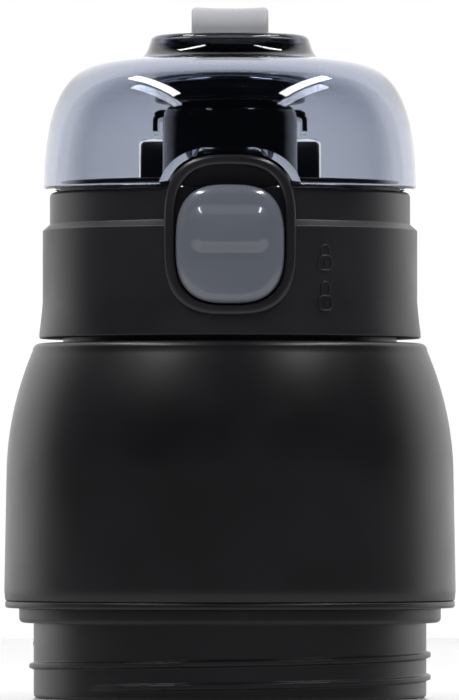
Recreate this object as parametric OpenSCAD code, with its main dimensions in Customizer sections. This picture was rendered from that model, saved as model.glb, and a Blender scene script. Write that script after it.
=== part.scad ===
// Head of a vacuum flask: a double-walled shoulder that screws on to the flask's body, a screw-on
// collar with a spout, and a flip cap with a push button that slides up to lock.
// Millimetres. +Z is up, the button faces -Y, and the origin is the centre of the skirt's foot.

/* [Threaded skirt] */
// Diameter of the skirt between the thread's turns
skirt_d = 63.5; // [63:0.1:63.8]
// Wall thickness of the skirt
skirt_wall = 3.1; // [2.6:0.1:3.2]
// Distance from one turn of the body thread to the next
body_pitch = 3.6; // [3.4:0.1:3.8]
// How far the body thread stands out of the skirt
body_thread_depth = 0.7; // [0.5:0.1:0.9]

/* [Shoulder] */
// Largest diameter, at the foot of the shoulder
shoulder_d = 73; // [72.8:0.1:74]
// Thickness of the outer steel shell
shell_wall = 1; // [0.8:0.1:1.1]
// Inside diameter of the mouth
mouth_d = 37.4; // [36:0.1:37.6]
// Distance from one turn of the lid thread to the next
lid_pitch = 4; // [3.9:0.05:4.1]

/* [Collar] */
// Outside diameter of the collar below its ledge
collar_d = 60.6; // [60.2:0.1:60.8]
// Outside diameter of the collar above its ledge
collar_neck_d = 58.3; // [58:0.1:58.6]

/* [Button] */
// Width of the push button
button_w = 17.2; // [16.6:0.1:17.4]
// Height of the push button
button_h = 18.9; // [18.5:0.1:19]
// How far the button slides up to lock
lock_travel = 2.8; // [2.5:0.1:2.8]
// How far the button is pushed in to open the cap
press_travel = 1.2; // [1:0.1:1.2]
// Width of the raised frame round the button
bezel_rim = 1.9; // [1.7:0.1:2]

/* [Cap] */
// Outside diameter of the dome
dome_d = 60.4; // [60:0.1:60.8]
// Wall thickness of the dome
dome_wall = 2; // [1.8:0.1:2.2]
// Height of the crown's flat top
crown_top = 107; // [106.5:0.1:107.5]

/* [Strap] */
// Width of the carry strap
strap_w = 12.4; // [11.5:0.1:12.6]
// Thickness of the carry strap
strap_t = 2.4; // [2:0.1:2.6]
// Height of the top of the strap
strap_top = 111.5; // [110.5:0.1:112]

/* [Hidden] */
$fn = 96;

// Joins and running clearances
run_gap = 0.05;
side_gap = 0.25;

// Skirt and shoulder
skirt_r = skirt_d / 2;
skirt_bore_r = skirt_r - skirt_wall;
flange_r = 36.36;
flange_z = 14.5;
shell_z = 15.6;
foot_z = 17.3;
bend_z = 36.7;
shoulder_top = 57.2;
shoulder_taper = 0.0185;
shoulder_drop = 4.35;
shoulder_edge = 1.2;
seal_z = 12.1;
seal_r = 34.1;

// Neck and lid thread
mouth_r = mouth_d / 2;
liner_wall = 0.75;
neck_bore_r = mouth_r + liner_wall;
neck_r = 20.8;
neck_flange_r = 27;
neck_flange_top = 59.6;
neck_top = 69;
neck_thread_z = 62.8;
lid_thread_z = neck_thread_z - 1.8;
lid_thread_depth = 1.1;
core_bore_r = 22.2;
core_r = 23.6;
core_z = 59.9;
roof_z = 71.05;
roof_top = 73;
roof_r = 28.2;
drink_r = 5.2;

// Collar
collar_r = collar_d / 2;
collar_neck_r = collar_neck_d / 2;
collar_z = 58;
collar_bore_r = 28.3;
collar_flare = 0.58;
collar_flare_top = 64.2;
ledge_z = 75.4;
deck_z = 80;
deck_top = 81.6;
rim_r = 27.5;
rim_top = 83.2;
bezel_back_r = 30;
bezel_r = 31.3;
opening_back = -26.9;
// cuts from the front run from well inside the wall to well outside it
cut_inside = -15;
cut_outside = -40;

// Button, lock slider and latch
button_z = 72.45;
button_r = 32;
squircle_power = 2.9;
slider_front = -28.4;
// the pressed button stops just short of the slider
button_back = slider_front - press_travel - run_gap;
slider_back = -27.3;
stem_z = 67.5;
stem_r = 1.4;
post_x = 6;
post_r = 1;
latch_y = -25.2;
latch_z = 75.5;
latch_pin_r = 0.8;
latch_half_w = 3.5;

// Cap and hinge
hinge_y = 25.4;
hinge_z = 87;
hinge_pin_r = 1;
ear_r = 4.4;
ear_in = 9.1;
ear_out = 15.05;
dome_z = 82;
dome_rise = 21.2;
dome_side_power = 7.55;
dome_top_power = 2.2;
crown_r = 12.9;
crown_bore_r = 10.6;
cup_r = 10.9;
cup_bore_r = 9.4;
cup_z = 83;
cup_top = 97;
knuckle_in = 5.2;
knuckle_out = 8.8;
strap_half_l = 7.6;
strap_foot = 98.8;

black_pp = [0.12, 0.12, 0.14];
black_coat = [0.1, 0.1, 0.11];
steel = [0.75, 0.75, 0.77];
grey = [0.42, 0.44, 0.48];
pale_grey = [0.69, 0.69, 0.71];
silicone = [0.8, 0.8, 0.82];
smoke = [0.45, 0.48, 0.55, 0.5];

// ---- outlines ----

function arc(cx, cy, r, a0, a1, n) =
    [for (i = [0:n]) [cx + r * cos(a0 + (a1 - a0) * i / n), cy + r * sin(a0 + (a1 - a0) * i / n)]];

// A rectangle with rounded corners
function rounded_rect(x0, x1, y0, y1, r, n) =
    concat(arc(x1 - r, y1 - r, r, 0, 90, n), arc(x0 + r, y1 - r, r, 90, 180, n),
           arc(x0 + r, y0 + r, r, 180, 270, n), arc(x1 - r, y0 + r, r, 270, 360, n));

function superellipse_axis(t, half, power) = half * sign(t) * pow(abs(t), 2 / power);

// A rounded oval whose upper half is lifted by stretch: x across, y up
function squircle(half_w, half_h, mid, stretch) =
    [for (a = [0:5:355])
        [superellipse_axis(cos(a), half_w, squircle_power),
         mid + superellipse_axis(sin(a), half_h, squircle_power) + (sin(a) > 0.01 ? stretch : 0)]];

// The button's own outline, grown by a margin and lifted by stretch
function button_outline(margin, stretch) =
    squircle(button_w / 2 + margin, button_h / 2 + margin, button_z, stretch);

function shoulder_r(z) =
    shoulder_d / 2 - shoulder_taper * (z - foot_z)
    - shoulder_drop * pow(max(0, (z - bend_z) / (shoulder_top - bend_z)), 2);

// A point on the dome, inset from its outside, at angle t from its foot
function dome_point(t, inset) =
    [(dome_d / 2 - inset) * pow(cos(t), 2 / dome_side_power),
     dome_z + (dome_rise - inset) * pow(sin(t), 2 / dome_top_power)];

module turned(points) {
    rotate_extrude() polygon(points);
}

module ring(r_in, r_out, z0, z1) {
    turned([[r_in, z0], [r_out, z0], [r_out, z1], [r_in, z1]]);
}

// A plate whose outline is seen from the front, between two distances in front of the axis
module front_plate(outline, y_back, y_front) {
    translate([0, y_back, 0])
        rotate([90, 0, 0])
            linear_extrude(y_back - y_front) polygon(outline);
}

// The same outline wrapped round the axis, between two radii
module front_skin(outline, r_in, r_out) {
    intersection() {
        front_plate(outline, cut_inside, cut_outside);
        ring(r_in, r_out, 50, 100);
    }
}

// A round bar along X
module bar_x(y, z, r, x0, x1) {
    translate([x0, y, z])
        rotate([0, 90, 0])
            cylinder(r = r, h = x1 - x0);
}

// A round bar along Y
module bar_y(x, z, r, y0, y1) {
    translate([x, y1, z])
        rotate([90, 0, 0])
            cylinder(r = r, h = y1 - y0);
}

module box(x0, x1, y0, y1, z0, z1) {
    translate([x0, y0, z0])
        cube([x1 - x0, y1 - y0, z1 - z0]);
}

// A block and its mirror image across the middle
module both_sides() {
    children();
    mirror([1, 0, 0]) children();
}

// A bar of constant section wound round the Z axis: section is [radius, height] points
module helix(section, pitch, turns, steps) {
    count = ceil(turns * steps);
    k = len(section);
    points = [for (i = [0:count], p = section)
        let (a = 360 * turns * i / count)
        [p[0] * cos(a), p[0] * sin(a), p[1] + pitch * a / 360]];
    sides = [for (i = [0:count - 1], j = [0:k - 1])
        let (a = i * k + j, b = i * k + (j + 1) % k)
        each [[a, b, a + k], [b, b + k, a + k]]];
    first = [for (j = [k - 1:-1:0]) j];
    last = [for (j = [0:k - 1]) count * k + j];
    polyhedron(points = points, faces = concat([first], sides, [last]), convexity = 6);
}

// A wire coil along Z, from z = 0
module coil(mean_r, wire_r, pitch, turns) {
    section = [for (a = [0:60:300]) [mean_r + wire_r * cos(a), wire_r * sin(a)]];
    helix(section, pitch, turns, 20);
}

// A thread ridge that stands out of radius root to radius crest, sunk a little into its wall
module ridge(root, crest, base, tip, pitch, turns) {
    sink = crest > root ? -0.3 : 0.3;
    section = [[root + sink, -base / 2], [crest, -tip / 2], [crest, tip / 2], [root + sink, base / 2]];
    helix(crest > root ? section : [for (i = [3:-1:0]) section[i]], pitch, turns, 48);
}

// ---- shoulder ----

module shoulder_shell() {
    top_r = shoulder_r(shoulder_top - shoulder_edge) - shoulder_edge;
    outer = [for (i = [0:17]) let (z = foot_z + (shoulder_top - shoulder_edge - foot_z) * i / 17)
        [shoulder_r(z), z]];
    inner = [for (i = [16:-1:0]) let (z = foot_z + (shoulder_top - 3 - foot_z) * i / 16)
        [shoulder_r(z) - shell_wall * 1.05, z]];
    color(black_coat)
        turned(concat(
            [[flange_r - shell_wall, shell_z], [flange_r, shell_z]],
            outer,
            arc(top_r, shoulder_top - shoulder_edge, shoulder_edge, 15, 90, 5),
            [[neck_bore_r, shoulder_top], [neck_bore_r, shoulder_top - shell_wall],
             [top_r - 1, shoulder_top - shell_wall]],
            inner));
}

module inner_liner() {
    wide_r = skirt_bore_r - 0.1;
    foot = 1.5;
    curve_z = 26;
    neck_z = 54;
    outer = [for (i = [0:12]) let (t = i / 12)
        [wide_r + (neck_bore_r - wide_r) * (1 - cos(180 * t)) / 2, curve_z + (neck_z - curve_z) * t]];
    inner = [for (i = [12:-1:0]) outer[i] - [liner_wall, 0]];
    color(steel)
        turned(concat(
            [[wide_r - liner_wall, foot], [wide_r, foot]],
            outer,
            [[neck_bore_r, neck_top], [mouth_r, neck_top]],
            inner));
}

module neck_ring() {
    color(black_pp) {
        turned([[neck_bore_r, shoulder_top], [neck_flange_r, shoulder_top],
                [neck_flange_r, neck_flange_top - 0.5], [neck_flange_r - 0.5, neck_flange_top],
                [neck_r, neck_flange_top], [neck_r, neck_top - 0.6], [neck_r - 0.6, neck_top],
                [neck_bore_r, neck_top]]);
        translate([0, 0, neck_thread_z])
            ridge(neck_r, neck_r + lid_thread_depth, 1.6, 0.7, lid_pitch, 1);
    }
}

module threaded_skirt() {
    spigot_r = flange_r - shell_wall - 0.2;
    thread_turns = 1.88;
    color(black_pp) {
        turned(concat(
            [[skirt_bore_r, 0], [skirt_r - 0.5, 0], [skirt_r, 0.5], [skirt_r, flange_z]],
            arc(flange_r - 0.4, flange_z + 0.4, 0.4, -90, 0, 3),
            [[flange_r, shell_z], [spigot_r, shell_z], [spigot_r, shell_z + 3],
             [spigot_r - 1.4, shell_z + 3], [spigot_r - 1.4, shell_z], [skirt_bore_r, shell_z]]));
        rotate([0, 0, -136])
            translate([0, 0, 1.96])
                ridge(skirt_r, skirt_r + body_thread_depth, 1.2, 0.65, body_pitch, thread_turns);
    }
}

module body_seal() {
    color(silicone)
        turned(concat(
            [[skirt_r + run_gap, seal_z]],
            [[seal_r - 1.2, seal_z]],
            arc(seal_r - 0.8, seal_z + 0.8, 0.8, -60, 0, 3),
            [[seal_r, flange_z], [skirt_r + run_gap, flange_z]]));
}

// ---- lid ----

module lid_seal() {
    color(silicone)
        turned([[mouth_r + 0.3, neck_top + run_gap], [core_bore_r - 0.2, neck_top + run_gap],
                [core_bore_r - 0.2, roof_z - run_gap], [core_bore_r - 1.2, roof_z - run_gap],
                [core_bore_r - 1.6, roof_z - 0.7], [mouth_r + 1.3, roof_z - 0.7],
                [mouth_r + 0.9, roof_z - run_gap], [mouth_r + 0.3, roof_z - run_gap]]);
}

// The hollow turned body of the collar, with its deck and the low rim that the cap closes over
module collar_turning() {
    flare = [for (i = [0:6]) let (z = collar_z + 0.6 + (collar_flare_top - collar_z - 0.6) * i / 6)
        [collar_r + collar_flare * pow((collar_flare_top - z) / (collar_flare_top - collar_z - 0.6), 1.3),
         z]];
    neck_bore = collar_neck_r - 1.85;
    turned(concat(
        [[collar_bore_r, collar_z], [collar_r, collar_z]],
        flare,
        [[collar_r, ledge_z - 0.2], [collar_r - 0.2, ledge_z], [collar_neck_r, ledge_z + 1]],
        arc(collar_neck_r - 0.8, deck_top - 0.8, 0.8, 0, 90, 4),
        [[rim_r, deck_top], [rim_r, rim_top], [rim_r - 1.7, rim_top], [rim_r - 1.7, deck_top],
         [0, deck_top], [0, deck_z], [neck_bore, deck_z], [neck_bore, ledge_z + 0.6],
         [collar_bore_r, ledge_z - 0.6]]));
}

// One upright ear of the hinge, rounded about the pin, its back curved with the dome
module hinge_ear() {
    stem_front = 20.9;
    stem_back = 26.2;
    difference() {
        intersection() {
            union() {
                bar_x(hinge_y, hinge_z, ear_r, ear_in, ear_out);
                box(ear_in, ear_out, stem_front, stem_back, deck_z, hinge_z);
            }
            cylinder(r = dome_d / 2 - 0.3, h = 120);
        }
        bar_x(hinge_y, hinge_z, hinge_pin_r, ear_in - 1, ear_out - 1);
    }
}

module latch_lug() {
    difference() {
        box(4, 6.5, -26.9, -23.8, latch_z - 1.8, deck_z + 0.5);
        bar_x(latch_y, latch_z, latch_pin_r, 3, 7);
    }
}

module collar() {
    bezel_outline = button_outline(bezel_rim, lock_travel);
    color(black_pp) {
        difference() {
            union() {
                difference() {
                    collar_turning();
                    // the rim stops short of the hinge and of the button's frame
                    box(-30, 30, 16, 30, deck_top, rim_top + 1);
                    box(-9.6, 9.6, -30, -15, deck_top, rim_top + 1);
                    front_skin(bezel_outline, bezel_back_r, 33);
                }
                front_skin(button_outline(bezel_rim - 0.2, lock_travel), collar_bore_r, bezel_back_r);
            }
            // opening for the button, from which it slides up
            front_plate(button_outline(side_gap, lock_travel), opening_back, cut_outside);
            // room behind the opening for the lock slider's tabs
            box(-10.3, 10.3, -28, -25, 63.4, ledge_z - 0.8);
            // latch slot, spout hole and vent hole in the deck
            box(-4.4, 4.4, -27.6, -22.4, deck_z - 1, deck_top + 1);
            translate([0, 0, deck_z - 1]) cylinder(r = 7.8, h = 4);
            translate([0, 13.5, deck_z - 1]) cylinder(r = 1.2, h = 4);
        }
        both_sides() hinge_ear();
        both_sides() latch_lug();
    }
}

module bezel() {
    color(black_pp)
        difference() {
            front_skin(button_outline(bezel_rim, lock_travel), bezel_back_r, bezel_r);
            front_plate(button_outline(side_gap, lock_travel), cut_inside, cut_outside);
        }
}

module lid_core() {
    color(black_pp)
        difference() {
            union() {
                ring(core_bore_r, core_r, core_z, roof_z);
                ring(drink_r + 0.8, roof_r, roof_z, roof_top);
                ring(roof_r - 1.2, roof_r, 62, roof_z);
                translate([0, 0, lid_thread_z])
                    ridge(core_bore_r, core_bore_r - lid_thread_depth, 1.6, 0.7, lid_pitch, 0.75);
            }
            // notch that leaves room for the latch, and for its foot to swing in
            box(-11, 11, -30, -core_r, 61, roof_top + 1);
            box(-4.1, 4.1, -30, -22.85, 61, latch_z - 2);
            translate([0, 13.5, roof_z - 1]) cylinder(r = 1.5, h = 4);
        }
}

module spout() {
    foot = roof_top + 0.6;
    tip = 91.5;
    color(black_pp)
        turned(concat(
            [[drink_r, foot], [7.2, foot], [7.2, 78.2], [10.6, 78.2], [10.6, deck_z], [7.7, deck_z],
             [7.6, 84]],
            arc(6.4 - 0.6, tip - 0.6, 0.6, 0, 180, 8),
            [[drink_r, tip - 1]]));
}

module spout_gasket() {
    color(silicone) ring(drink_r + 0.2, 8.4, roof_top, roof_top + 0.6);
}

module vent_valve() {
    color(silicone)
        translate([0, 13.5, 0])
            turned([[0, roof_z - 1.4], [1, roof_z - 1.4], [3, roof_z - 0.6], [3, roof_z], [1.5, roof_z],
                    [1.5, roof_top], [2.4, roof_top], [2.4, roof_top + 0.8], [0, roof_top + 0.8]]);
}

module hinge_pin() {
    color(steel) bar_x(hinge_y, hinge_z, hinge_pin_r, 1 - ear_out, ear_out - 1);
}

module hinge_spring() {
    mean_r = 2;
    wire_r = 0.35;
    half_l = 4;
    color(steel) {
        translate([-half_l, hinge_y, hinge_z])
            rotate([0, 90, 0])
                coil(mean_r, wire_r, 1, 2 * half_l);
        // one leg rests on the deck, the other lifts the cap
        translate([-half_l, hinge_y, hinge_z - mean_r])
            rotate([40, 0, 0])
                bar_y(0, 0, wire_r, -4.6, 0);
        translate([half_l, hinge_y, hinge_z + mean_r])
            bar_y(0, 0, wire_r, -13.5, 0);
    }
}

module latch_pin() {
    color(steel) bar_x(latch_y, latch_z, latch_pin_r, -6.3, 6.3);
}

module latch_spring() {
    mean_r = 1.35;
    wire_r = 0.2;
    color(steel) {
        translate([-1.3, latch_y, latch_z])
            rotate([0, 90, 0])
                coil(mean_r, wire_r, 0.52, 5);
        // one leg bears on the lever's back, the other on the lid core
        translate([1.3, latch_y + mean_r, latch_z])
            cylinder(r = wire_r, h = 4.4);
        translate([-1.3, latch_y + mean_r, latch_z - 4])
            cylinder(r = wire_r, h = 4);
    }
}

// ---- button ----

module lock_slider() {
    slider_half_h = 8.6;
    outline = squircle(8.5, slider_half_h, button_z, 0);
    color(black_pp)
        difference() {
            union() {
                front_plate(outline, slider_back, slider_front);
                // legs and tabs that run behind the collar's wall
                both_sides() box(7.6, 8.4, slider_back - 0.1, -25.5, 64.6, 71.4);
                both_sides() box(7.6, 9.9, -26.3, -25.5, 64.6, 71.4);
            }
            bar_y(0, stem_z, stem_r + 0.4, -30, -26);
            both_sides() bar_y(post_x, stem_z, post_r + 0.3, -30, -26);
        }
}

module button_spring() {
    color(steel)
        translate([0, slider_front - 0.3, stem_z])
            rotate([90, 0, 0])
                coil(2.2, 0.25, 0.58, 3.2);
}

module push_button() {
    // the thumb pad rises in two steps
    pad_half_w = 6.5;
    pad_z0 = 71;
    pad_z1 = 78.7;
    pad_step = 0.4;
    pad_inset = 1;
    pad_foot = rounded_rect(-pad_half_w, pad_half_w, pad_z0, pad_z1, 2.4, 6);
    pad_top = rounded_rect(pad_inset - pad_half_w, pad_half_w - pad_inset, pad_z0 + pad_inset,
                           pad_z1 - pad_inset, 1.6, 6);
    color(grey) {
        difference() {
            union() {
                intersection() {
                    front_plate(button_outline(0, 0), button_back, -34);
                    cylinder(r = button_r, h = 100);
                }
                front_skin(pad_foot, button_r - 1, button_r + pad_step);
                front_skin(pad_top, button_r - 1, button_r + 2 * pad_step);
            }
            // pocket for the spring
            bar_y(0, stem_z, 2.9, -30.9, -29);
        }
        bar_y(0, stem_z, stem_r, -31, -27);
        both_sides() bar_y(post_x, stem_z, post_r, button_back - 0.5, -26.6);
    }
}

module latch_lever() {
    slot_half_w = 1.9;
    pad_top = stem_z + 0.9;
    color(grey)
        difference() {
            union() {
                bar_x(latch_y, latch_z, 1.9, -latch_half_w, latch_half_w);
                // lower arm with the pad that the button's stem pushes
                box(-latch_half_w, latch_half_w, -25.9, -24.6, pad_top - 2.9, latch_z);
                box(-latch_half_w, latch_half_w, -26.6, -24.6, pad_top - 2.9, pad_top);
                // upper arm with its nose
                box(-latch_half_w, latch_half_w, -25.7, -24.4, latch_z, 86.2);
                box(-3, 3, -25.7, -23.3, 85.2, 86.2);
            }
            // the stem passes through this slot when the button is locked
            box(-slot_half_w, slot_half_w, -28, -22, pad_top, latch_z + 2.2);
            bar_x(latch_y, latch_z, latch_pin_r + run_gap, -5, 5);
        }
}

// ---- cap ----

module cap_dome() {
    side = [for (t = [0:6:84]) dome_point(t, 0)];
    underside = [for (t = [88.5, 84, 78, 72, 66, 60, 54, 48, 42, 36, 30, 24, 18, 12, 6, 0])
        dome_point(t, dome_wall)];
    color(smoke)
        difference() {
            turned(concat(
                side,
                arc(crown_r + 3.2, crown_top - 1, 3, 270, 190, 6),
                arc(crown_r - 1, crown_top - 1, 1, 0, 90, 4),
                [[crown_bore_r, crown_top]],
                underside));
            // opening that fits over the button's frame
            front_plate(button_outline(bezel_rim + 0.4, lock_travel), cut_inside, cut_outside);
            // opening round the hinge
            bar_x(hinge_y, hinge_z, ear_r + 0.6, -ear_out - 0.3, ear_out + 0.3);
            box(-ear_out - 0.3, ear_out + 0.3, 15, 40, 80, hinge_z);
        }
}

// A hood that hides the hinge from inside the cap
module hinge_hood() {
    half_w = 12.7;
    wall = 0.8;
    roof = 96.4;
    skirt = hinge_z + ear_r + 0.9;
    corner = 1.6;
    outline = concat(arc(half_w - corner, roof - corner, corner, 0, 90, 4),
                     arc(corner - half_w, roof - corner, corner, 90, 180, 4),
                     [[-half_w, skirt], [half_w, skirt]]);
    difference() {
        front_plate(outline, 21.5, 8);
        box(wall - half_w, half_w - wall, 7, 22, skirt - 1, roof - wall - 0.3);
    }
}

module cap_liner() {
    color(black_pp)
        difference() {
            union() {
                turned(concat(
                    [[cup_bore_r, cup_z], [cup_r, cup_z]],
                    arc(cup_r - 3, cup_top - 3, 3, 0, 90, 8),
                    [[0, cup_top], [0, cup_top - 1.7], [cup_bore_r, cup_top - 1.7]]));
                // catch under the latch's nose
                box(-3, 3, -23, -cup_bore_r, cup_z, cup_z + 2);
                both_sides() box(knuckle_in, knuckle_out, 6, hinge_y, 85, 89.5);
                both_sides() bar_x(hinge_y, hinge_z, 3.4, knuckle_in, knuckle_out);
                hinge_hood();
            }
            translate([0, 0, cup_z - 1]) cylinder(r = cup_bore_r, h = cup_top - 1.7 - cup_z + 1);
            both_sides() bar_x(hinge_y, hinge_z, hinge_pin_r + run_gap, knuckle_in - 1, knuckle_out + 0.2);
        }
}

// The well that the strap is held in, seen through the top of the crown
module crown_insert() {
    well_x = 6.5;
    well_y = strap_half_l + 0.2;
    well = rounded_rect(-well_x, well_x, -well_y, well_y, 1, 3);
    color(black_pp)
        difference() {
            turned([[0, 97.2], [12.2, 97.2], [12.2, 101], [crown_bore_r - 0.1, 101],
                    [crown_bore_r - 0.1, 106], [0, 106]]);
            translate([0, 0, strap_foot - 0.2]) linear_extrude(20) polygon(well);
            both_sides() strap_pin_pair(6.4);
        }
}

// Places for the pins that hold the strap's two ends, on one side
module strap_pin_pair(x0) {
    for (y = [-1, 1])
        bar_x(y * (strap_half_l - strap_t / 2), strap_foot + 2.2, 0.8, x0 - 13.2, x0 + 2);
}

module spout_plug() {
    color(silicone)
        turned([[0, 90.3], [4.3, 90.3], [4.5, 90.6], [4.5, 92], [cup_bore_r - 0.2, 92],
                [cup_bore_r - 0.2, cup_top - 1.8], [0, cup_top - 1.8]]);
}

module carry_strap() {
    bend_r = 3.6;
    outer = concat([[strap_half_l, strap_foot]],
                   arc(strap_half_l - bend_r, strap_top - bend_r, bend_r, 0, 90, 8),
                   arc(bend_r - strap_half_l, strap_top - bend_r, bend_r, 90, 180, 8),
                   [[-strap_half_l, strap_foot]]);
    gap_r = bend_r - 1.4;
    gap_half = strap_half_l - strap_t;
    inner = concat([[gap_half, strap_foot - 1]],
                   arc(gap_half - gap_r, strap_top - strap_t - gap_r, gap_r, 0, 90, 8),
                   arc(gap_r - gap_half, strap_top - strap_t - gap_r, gap_r, 90, 180, 8),
                   [[-gap_half, strap_foot - 1]]);
    front = [[-strap_w / 2, strap_foot], [strap_w / 2, strap_foot], [strap_w / 2, strap_top - 0.8],
             [strap_w / 2 - 0.8, strap_top], [0.8 - strap_w / 2, strap_top],
             [-strap_w / 2, strap_top - 0.8]];
    dish_r = 77;
    color(pale_grey)
        difference() {
            intersection() {
                rotate([0, 0, 90])
                    rotate([90, 0, 0])
                        linear_extrude(strap_w, center = true)
                            difference() {
                                polygon(outer);
                                polygon(inner);
                            }
                front_plate(front, 20, -20);
            }
            // shallow dish along the top of the strap
            bar_y(0, strap_top - 0.25 + dish_r, dish_r, -20, 20);
            strap_pin_pair(5);
        }
}

module strap_pins() {
    color(steel)
        for (y = [-1, 1])
            bar_x(y * (strap_half_l - strap_t / 2), strap_foot + 2.2, 0.8, -8.3, 8.3);
}

shoulder_shell();
inner_liner();
neck_ring();
threaded_skirt();
body_seal();
lid_seal();
collar();
bezel();
lid_core();
spout();
spout_gasket();
vent_valve();
hinge_pin();
hinge_spring();
latch_pin();
latch_spring();
lock_slider();
button_spring();
push_button();
latch_lever();
cap_dome();
cap_liner();
crown_insert();
spout_plug();
carry_strap();
strap_pins();
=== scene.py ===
"""The head of a vacuum flask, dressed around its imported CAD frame.

Shapes are drawn in millimetres in the frame's own axes: +Z up, the push button facing -Y.
"""

import math

import bmesh
import bpy
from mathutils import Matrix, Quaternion, Vector


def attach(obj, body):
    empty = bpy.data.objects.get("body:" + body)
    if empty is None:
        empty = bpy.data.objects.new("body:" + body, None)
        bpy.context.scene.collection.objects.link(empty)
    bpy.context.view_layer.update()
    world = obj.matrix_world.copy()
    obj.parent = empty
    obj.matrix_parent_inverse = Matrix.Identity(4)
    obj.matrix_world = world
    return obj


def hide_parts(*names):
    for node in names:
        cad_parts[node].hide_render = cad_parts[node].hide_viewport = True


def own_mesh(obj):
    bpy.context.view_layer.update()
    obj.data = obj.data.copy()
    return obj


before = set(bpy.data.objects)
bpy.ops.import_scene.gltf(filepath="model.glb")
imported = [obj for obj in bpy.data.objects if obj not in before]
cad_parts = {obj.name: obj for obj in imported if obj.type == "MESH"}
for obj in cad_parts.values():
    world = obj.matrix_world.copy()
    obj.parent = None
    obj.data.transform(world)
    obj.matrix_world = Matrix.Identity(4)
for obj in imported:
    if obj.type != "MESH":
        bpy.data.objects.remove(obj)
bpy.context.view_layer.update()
MM = 0.001

# ---- sizes that several pieces share, in millimetres ----

TURN_STEPS = 240

SKIRT_R = 31.75
SKIRT_BORE_R = 28.65
FLANGE_R = 36.36
FLANGE_Z = 14.5
SHELL_Z = 15.6
SHOULDER_TOP = 57.2
NECK_BORE_R = 19.45
MOUTH_R = 18.7
NECK_TOP = 69

COLLAR_R = 30.3
COLLAR_NECK_R = 29.15
COLLAR_Z = 58
LEDGE_Z = 75.4
DECK_Z = 80
DECK_TOP = 81.6
RIM_TOP = 83.2
SPOUT_HOLE_R = 7.8

BUTTON_W = 17.2
BUTTON_H = 18.9
BUTTON_Z = 72.45
BUTTON_R = 32
BUTTON_BACK = 29.65
LOCK_TRAVEL = 2.8
BEZEL_RIM = 1.9
BEZEL_BACK_R = 30
BEZEL_R = 31.3
STEM_Z = 67.5
LATCH_Y = -25.2
LATCH_Z = 75.5

DOME_R = 30.2
DOME_Z = 82
DOME_RISE = 21.2
DOME_WALL = 2
CROWN_R = 12.9
CROWN_TOP = 107
CROWN_BORE_R = 10.6
HINGE_Y = 25.4
HINGE_Z = 87
EAR_R = 4.4
EAR_OUT = 15.05
CUP_R = 10.9
CUP_BORE_R = 9.4
CUP_Z = 83
CUP_TOP = 97

STRAP_HALF_L = 7.6
STRAP_HALF_W = 6.2
STRAP_T = 2.4
STRAP_FOOT = 98.8
STRAP_TOP = 111.5


# ---- outlines ----


def arc(cx, cy, r, start, end, steps):
    """Points along an arc, from one angle to another in degrees."""
    angles = [math.radians(start + (end - start) * i / steps) for i in range(steps + 1)]
    return [(cx + r * math.cos(a), cy + r * math.sin(a)) for a in angles]


def rounded(corners, steps=5):
    """A closed outline from corners (x, y) or (x, y, fillet radius)."""
    points = []
    for i, corner in enumerate(corners):
        here = Vector(corner[:2])
        if len(corner) == 2:
            points.append(tuple(here))
            continue
        before = (Vector(corners[i - 1][:2]) - here).normalized()
        after = (Vector(corners[(i + 1) % len(corners)][:2]) - here).normalized()
        half = before.angle(after) / 2
        centre = here + (before + after).normalized() * corner[2] / math.sin(half)
        reach = corner[2] / math.tan(half)
        first = here + before * reach - centre
        last = here + after * reach - centre
        for s in range(steps + 1):
            spoke = first.lerp(last, s / steps).normalized() * corner[2]
            points.append(tuple(centre + spoke))
    return points


def rounded_box(x0, x1, y0, y1, r, steps=5):
    return rounded([(x0, y0, r), (x1, y0, r), (x1, y1, r), (x0, y1, r)], steps)


def squircle(half_w, half_h, mid, stretch, steps=160, power=2.9):
    """A rounded oval seen from the front, its upper half lifted by stretch."""
    points = []
    for i in range(steps):
        a = math.tau * i / steps
        c, s = math.cos(a), math.sin(a)
        x = math.copysign(half_w * abs(c) ** (2 / power), c)
        z = math.copysign(half_h * abs(s) ** (2 / power), s)
        points.append((x, mid + z + (stretch if s > 0.01 else 0)))
    return points


def button_outline(margin, stretch=LOCK_TRAVEL):
    """The button's outline, grown by a margin and lifted by stretch."""
    return squircle(BUTTON_W / 2 + margin, BUTTON_H / 2 + margin, BUTTON_Z, stretch)


def shoulder_r(z):
    """Radius of the shoulder: a slight taper that rolls in towards the neck."""
    bend = max(0, (z - 36.7) / 20.5)
    return 36.5 - 0.0185 * (z - 17.3) - 4.35 * bend**2


def dome_point(angle, inset):
    """A point on the dome's section, inset from its outside, at an angle from its foot."""
    a = math.radians(angle)
    r = (DOME_R - inset) * math.cos(a) ** (2 / 7.55)
    return (r, DOME_Z + (DOME_RISE - inset) * math.sin(a) ** (2 / 2.2))


# ---- meshes ----


def piece(name, points, faces):
    """A new object from points in millimetres, with merged points and outward normals."""
    mesh = bpy.data.meshes.new(name)
    mesh.from_pydata([Vector(p) * MM for p in points], [], faces)
    obj = bpy.data.objects.new(name, mesh)
    bpy.context.scene.collection.objects.link(obj)
    work = bmesh.new()
    work.from_mesh(mesh)
    bmesh.ops.remove_doubles(work, verts=work.verts, dist=0.002 * MM)
    bmesh.ops.dissolve_degenerate(work, edges=work.edges, dist=0.001 * MM)
    loose = [edge for edge in work.edges if not edge.link_faces]
    bmesh.ops.delete(work, geom=loose, context="EDGES")
    bmesh.ops.recalc_face_normals(work, faces=work.faces)
    work.to_mesh(mesh)
    work.free()
    return obj


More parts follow.
